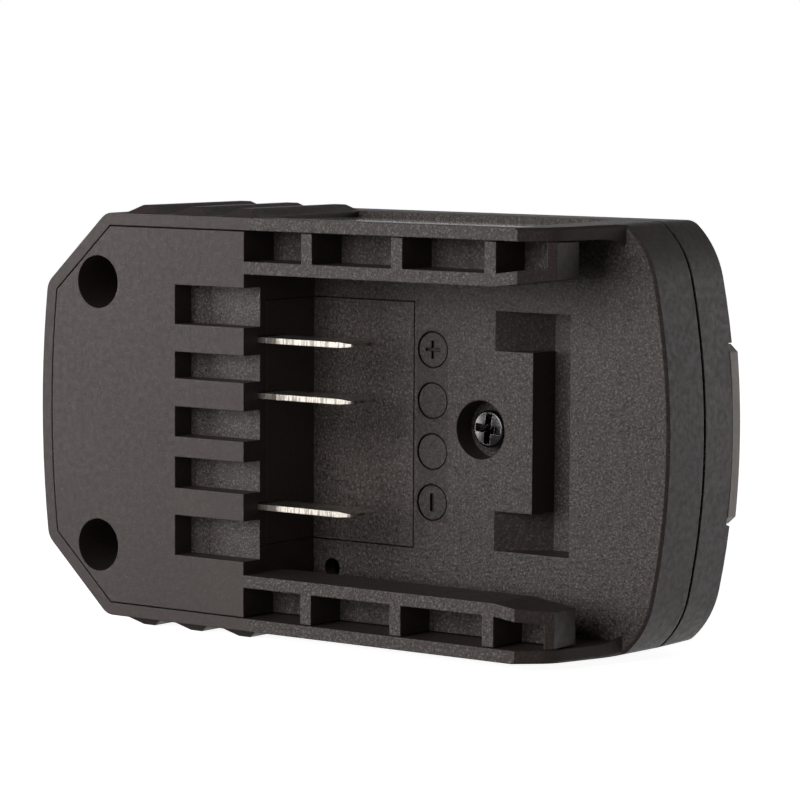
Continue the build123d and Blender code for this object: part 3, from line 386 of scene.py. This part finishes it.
def clear_lens(name):
    """Clear moulded plastic with a slightly uneven, frosted face."""
    shader = Shader(name)
    rounded = shader.soft_edges(LENS_EDGE)
    shader.set("Base Color", (0.86, 0.88, 0.87))
    shader.set("Roughness", shader.spread(shader.noise(LENS_FROST, 3.0), 0.35, 0.7, 0.12, 0.26))
    shader.set("Transmission Weight", 0.75)
    shader.set("IOR", 1.49)
    shader.set("Normal", shader.bump(shader.noise(LENS_WAVES), 0.02 * MM, 0.3, rounded))
    return shader.material


CASING = (0.0515, 0.0375, 0.0335)
materials = {
    "casing": moulded_plastic("casing_grain", CASING, coarse_bay=True),
    # the rail frame's edges are lightened more than the casing's, as painted highlight
    "interface": moulded_plastic("interface_grain", scaled(CASING, 1.04), edge=2.4,
                                 coarse_bay=True),
    "holder": moulded_plastic("holder_grain", scaled(CASING, 1.2), rough=0.50, grain=0.8,
                              coarse_bay=True),
    "contact_metal": satin_metal("nickel_plate", (0.82, 0.76, 0.68), 0.32,
                                 brush=(2.4, 0.5, 0.3), streaks=0.75),
    # near-white edges on the black screw: partly rubbed bare steel, partly painted highlight
    "black_screw": satin_metal("blackened_screw", (0.11, 0.105, 0.105), 0.22,
                               radius=SCREW_EDGE, edge=(0.97, 0.92, 0.90)),
    "steel": satin_metal("zinc_steel", (0.62, 0.63, 0.65), 0.26),
    "circuit_board": board_laminate("board_green"),
    "black_plastic": moulded_plastic("package_black", (0.012, 0.012, 0.013), rough=0.45,
                                     grain=0.5),
    "ferrite": moulded_plastic("ferrite_grey", (0.045, 0.045, 0.05), rough=0.6, grain=1.2),
    "capacitor_can": glossy_plastic("can_sleeve", (0.015, 0.018, 0.03), 0.3),
    "aluminium_fins": satin_metal("extruded_aluminium", (0.78, 0.79, 0.80), 0.32,
                                  brush=(0.1, 1.0, 1.0)),
    "fuse_body": glossy_plastic("fuse_ceramic", (0.62, 0.58, 0.48), 0.35),
    "lens": clear_lens("light_guide"),
    "button": moulded_plastic("button_grey", (0.025, 0.024, 0.024), rough=0.40, grain=0.6),
    "flap": moulded_plastic("flap_grey", (0.46, 0.41, 0.38), rough=0.5, grain=0.8, edge=1.15,
                            speckle=0.2),
    "label": glossy_plastic("label_film", (0.36, 0.355, 0.34), 0.10, coat=1.0),
    "socket_metal": satin_metal("socket_plate", (0.74, 0.74, 0.73), 0.24,
                                brush=(1.0, 0.1, 1.0)),
    "socket_plastic": moulded_plastic("socket_blue_black", (0.02, 0.022, 0.028), rough=0.4,
                                      grain=0.4),
    "gold_contact": satin_metal("gold_flash", (0.93, 0.68, 0.32), 0.22),
}


# Mesh helpers

def object_from(bm, name):
    """Scene object holding the bmesh, which is freed."""
    mesh = bpy.data.meshes.new(name)
    bm.to_mesh(mesh)
    bm.free()
    made = bpy.data.objects.new(name, mesh)
    bpy.context.scene.collection.objects.link(made)
    return made


def piece_from(bm, name, slot):
    """Piece from a bmesh, in its slot's material, riding on the adapter."""
    piece = object_from(bm, name)
    piece.data.materials.append(materials[slot])
    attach(piece, "adapter")
    return piece


def shade(piece, sharp_angle):
    """Smooth shading, with edges kept sharp above an angle in degrees."""
    mesh = piece.data
    mesh.polygons.foreach_set("use_smooth", [True] * len(mesh.polygons))
    mesh.set_sharp_from_angle(angle=radians(sharp_angle))


def bridge(bm, here, there):
    """Faces between two closed loops of the same number of corners."""
    for index in range(len(here)):
        after = (index + 1) % len(here)
        bm.faces.new((here[index], here[after], there[after], there[index]))


def lathe(bm, profile, steps, turn):
    """Closed body of revolution about z, then turned.

    The profile is a list of (radius, height) points, the first and the last on the axis.
    """
    rings = []
    for radius, height in profile:
        count = steps if radius else 1
        angles = [2 * pi * k / steps for k in range(count)]
        rings.append([bm.verts.new(turn @ Vector((radius * cos(angle), radius * sin(angle), height)))
                      for angle in angles])
    for low, high in zip(rings, rings[1:]):
        for k in range(steps):
            after = (k + 1) % steps
            corners = [low[k % len(low)], low[after % len(low)],
                       high[after % len(high)], high[k % len(high)]]
            bm.faces.new(list(dict.fromkeys(corners)))
    bmesh.ops.recalc_face_normals(bm, faces=bm.faces)


def cut(piece, bm):
    """Takes the bmesh's shape out of the piece and frees it."""
    bmesh.ops.recalc_face_normals(bm, faces=bm.faces)
    cutter = object_from(bm, "cutter")
    modifier = piece.modifiers.new("cut", "BOOLEAN")
    modifier.object = cutter
    modifier.operation = "DIFFERENCE"
    modifier.solver = "EXACT"
    graph = bpy.context.evaluated_depsgraph_get()
    mesh = bpy.data.meshes.new_from_object(piece.evaluated_get(graph))
    piece.modifiers.clear()
    piece.data = mesh
    bpy.data.objects.remove(cutter)


def block(bm, low, high):
    """Box between two corners."""
    low, high = Vector(low), Vector(high)
    made = bmesh.ops.create_cube(bm, size=1.0)
    bmesh.ops.scale(bm, vec=high - low, verts=made["verts"])
    bmesh.ops.translate(bm, vec=(low + high) / 2, verts=made["verts"])


def ring_cutter(bm, x, z):
    """Circular line in the floor of the bay, narrower at its bottom."""
    lean = RING_LINE * RING_TAPER
    corners = [(RING_OUTER - RING_LINE, -GROOVE, RING_SHIFT),
               (RING_OUTER, -GROOVE, 0.0),
               (RING_OUTER - lean, GROOVE, 0.0),
               (RING_OUTER - RING_LINE + lean, GROOVE, RING_SHIFT)]
    loops = []
    for k in range(RING_STEPS):
        angle = 2 * pi * k / RING_STEPS
        loops.append([bm.verts.new((x + shift + radius * cos(angle), FLOOR_Y + depth,
                                    z + radius * sin(angle)))
                      for radius, depth, shift in corners])
    for here, there in zip(loops, loops[1:] + loops[:1]):
        bridge(bm, here, there)


def plain_copy(node, name, slot):
    """Welded copy of a CAD node's mesh, without its stored normals."""
    source = frame["nodes"][node].data
    bm = bmesh.new()
    corners = [bm.verts.new(vertex.co) for vertex in source.vertices]
    for polygon in source.polygons:
        bm.faces.new([corners[index] for index in polygon.vertices])
    bmesh.ops.remove_doubles(bm, verts=bm.verts, dist=WELD)
    return piece_from(bm, name, slot)


def engraved_housing():
    """The lower housing with the terminal marks pressed into its floor."""
    piece = plain_copy("lower_housing", "housing_with_marks", "casing")
    marks = bmesh.new()
    for place in RING_PLACES:
        ring_cutter(marks, RING_X, MIDDLE_Z + place * RING_STEP)
    cut(piece, marks)
    plus_z = MIDDLE_Z + RING_PLACES[-1] * RING_STEP
    minus_z = MIDDLE_Z + RING_PLACES[0] * RING_STEP
    for z, half_x, half_z in ((plus_z, STROKE / 2, SIGN_HALF),
                              (plus_z, SIGN_HALF, STROKE / 2),
                              (minus_z, MINUS_STROKE / 2, SIGN_HALF)):
        stroke = bmesh.new()
        block(stroke, (RING_X - half_x, FLOOR_Y - GROOVE, z - half_z),
              (RING_X + half_x, FLOOR_Y + GROOVE, z + half_z))
        cut(piece, stroke)
    shade(piece, HOUSING_SHARP)
    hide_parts("lower_housing")


def screw_profile():
    """Half outline of the screw from its crown to its tip, as (radius, height) points."""
    profile = [(0.0, HEAD_HEIGHT), (HEAD_RADIUS * CROWN[0], HEAD_HEIGHT * CROWN[1])]
    for k in range(CROWN_STEPS + 1):
        angle = radians(90 * k / CROWN_STEPS)
        profile.append((HEAD_RADIUS * (1 - ROUNDING[0] + ROUNDING[0] * sin(angle)),
                        HEAD_HEIGHT * (SHOULDER + ROUNDING[1] * cos(angle))))
    profile += [(HEAD_RADIUS, HEAD_HEIGHT * RIM), (HEAD_RADIUS - RIM_INSET, 0.0),
                (SHANK_RADIUS, 0.0)]
    for k in range(THREAD_POINTS):
        height = -SHANK_LENGTH * (THREAD_START + THREAD_LENGTH * k / THREAD_POINTS)
        profile.append((SHANK_RADIUS * (THREAD_ROOT if k % 2 else 1.0), height))
    profile += [(SHANK_RADIUS * TIP[0], -SHANK_LENGTH * TIP[1]), (0.0, -SHANK_LENGTH)]
    return profile


def pan_screw():
    """Centre screw with a pan head towards -y, a thread and a tapered cross recess."""
    towards_battery = Matrix.Rotation(radians(90), 4, "X")
    bm = bmesh.new()
    lathe(bm, screw_profile(), SCREW_STEPS, towards_battery)
    piece = piece_from(bm, "centre_screw_head", "black_screw")
    for angle in (CROSS_TURN, CROSS_TURN + 90):
        turned = towards_battery @ Matrix.Rotation(radians(angle), 4, "Z")
        arm = bmesh.new()
        loops = []
        for long, wide, height in (CROSS_TOP, CROSS_BOTTOM):
            loops.append([arm.verts.new(turned @ Vector((sx * long, sy * wide, height)))
                          for sx, sy in ((-1, -1), (1, -1), (1, 1), (-1, 1))])
            arm.faces.new(loops[-1])
        bridge(arm, *loops)
        cut(piece, arm)
    for vertex in piece.data.vertices:
        vertex.co += Vector(SCREW_AT)
    shade(piece, SCREW_SHARP)
    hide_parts("centre_screw")


# CAD nodes keep their shape and get their material
for row in frame["record"]["subparts"]:
    mesh = frame["nodes"][row["node"]].data
    mesh.materials.clear()
    mesh.materials.append(materials[row["material_slot"]])

engraved_housing()
pan_screw()


# Floor, light and camera

def white_floor():
    """White floor that is seen and takes shadows, but doesn't light the part from below."""
    shader = Shader("floor_white")
    patches = shader.spread(shader.noise(FLOOR_PATCHES), 0.3, 0.7, 0.0, 1.0)
    shader.set("Base Color", shader.mix(patches, (0.84, 0.84, 0.84), (0.88, 0.88, 0.88)))
    shader.set("Roughness", 0.8)
    shader.set("Emission Color", (1.0, 1.0, 1.0))
    shader.set("Emission Strength", FLOOR_GLOW)
    bm = bmesh.new()
    bmesh.ops.create_grid(bm, x_segments=FLOOR_CELLS, y_segments=FLOOR_CELLS, size=FLOOR_SIZE)
    floor = object_from(bm, "floor")
    floor.location = (0, 0, -FLOOR_GAP)
    floor.visible_diffuse = False
    floor.visible_glossy = False
    floor.data.materials.append(shader.material)


def white_backdrop():
    """World that the camera sees as white.

    It lights the part from low behind it, and faintly from all round.
    """
    world = bpy.data.worlds.new("studio")
    world.use_nodes = True
    nodes = Nodes(world.node_tree)
    direction = nodes.parts(nodes.add("ShaderNodeTexCoord").outputs["Generated"])
    behind = nodes.spread(direction["Y"], *BACKDROP_Y, SURROUND, BACKDROP)
    low = nodes.spread(direction["Z"], *BACKDROP_Z, 1.0, HIGH_SHARE)
    light = nodes.math("MULTIPLY", behind, low)
    seen = nodes.add("ShaderNodeLightPath").outputs["Is Camera Ray"]
    background = world.node_tree.nodes["Background"]
    nodes.plug(background.inputs["Color"], (1.0, 1.0, 1.0))
    nodes.plug(background.inputs["Strength"], nodes.spread(seen, 0.0, 1.0, light, 1.0))
    bpy.context.scene.world = world


def area_light(name, at, size, watts):
    data = bpy.data.lights.new(name, "AREA")
    data.shape = "RECTANGLE"
    data.size, data.size_y = size
    data.energy = watts
    lamp = bpy.data.objects.new(name, data)
    lamp.location = at
    lamp.rotation_euler = (Vector(AIM) - Vector(at)).to_track_quat("-Z", "Y").to_euler()
    bpy.context.scene.collection.objects.link(lamp)


def photo_camera():
    az, el, roll = radians(AZIMUTH), radians(ELEVATION), radians(ROLL)
    back = Vector((sin(az) * cos(el), -cos(az) * cos(el), sin(el)))
    right = Vector((cos(az), sin(az), 0.0))
    up = back.cross(right)
    turned_right = right * cos(roll) + up * sin(roll)
    turned_up = up * cos(roll) - right * sin(roll)
    data = bpy.data.cameras.new("photo_camera")
    data.sensor_width = SENSOR_WIDTH
    data.lens = LENS
    data.clip_start = 0.01
    data.clip_end = 50.0
    camera = bpy.data.objects.new("photo_camera", data)
    rotation = Matrix((turned_right, turned_up, back)).transposed()
    camera.matrix_world = Matrix.Translation(CAMERA_AT) @ rotation.to_4x4()
    bpy.context.scene.collection.objects.link(camera)
    bpy.context.scene.camera = camera


white_floor()
white_backdrop()
for light in LIGHTS:
    area_light(*light)
photo_camera()
bpy.context.scene.view_settings.view_transform = "Standard"
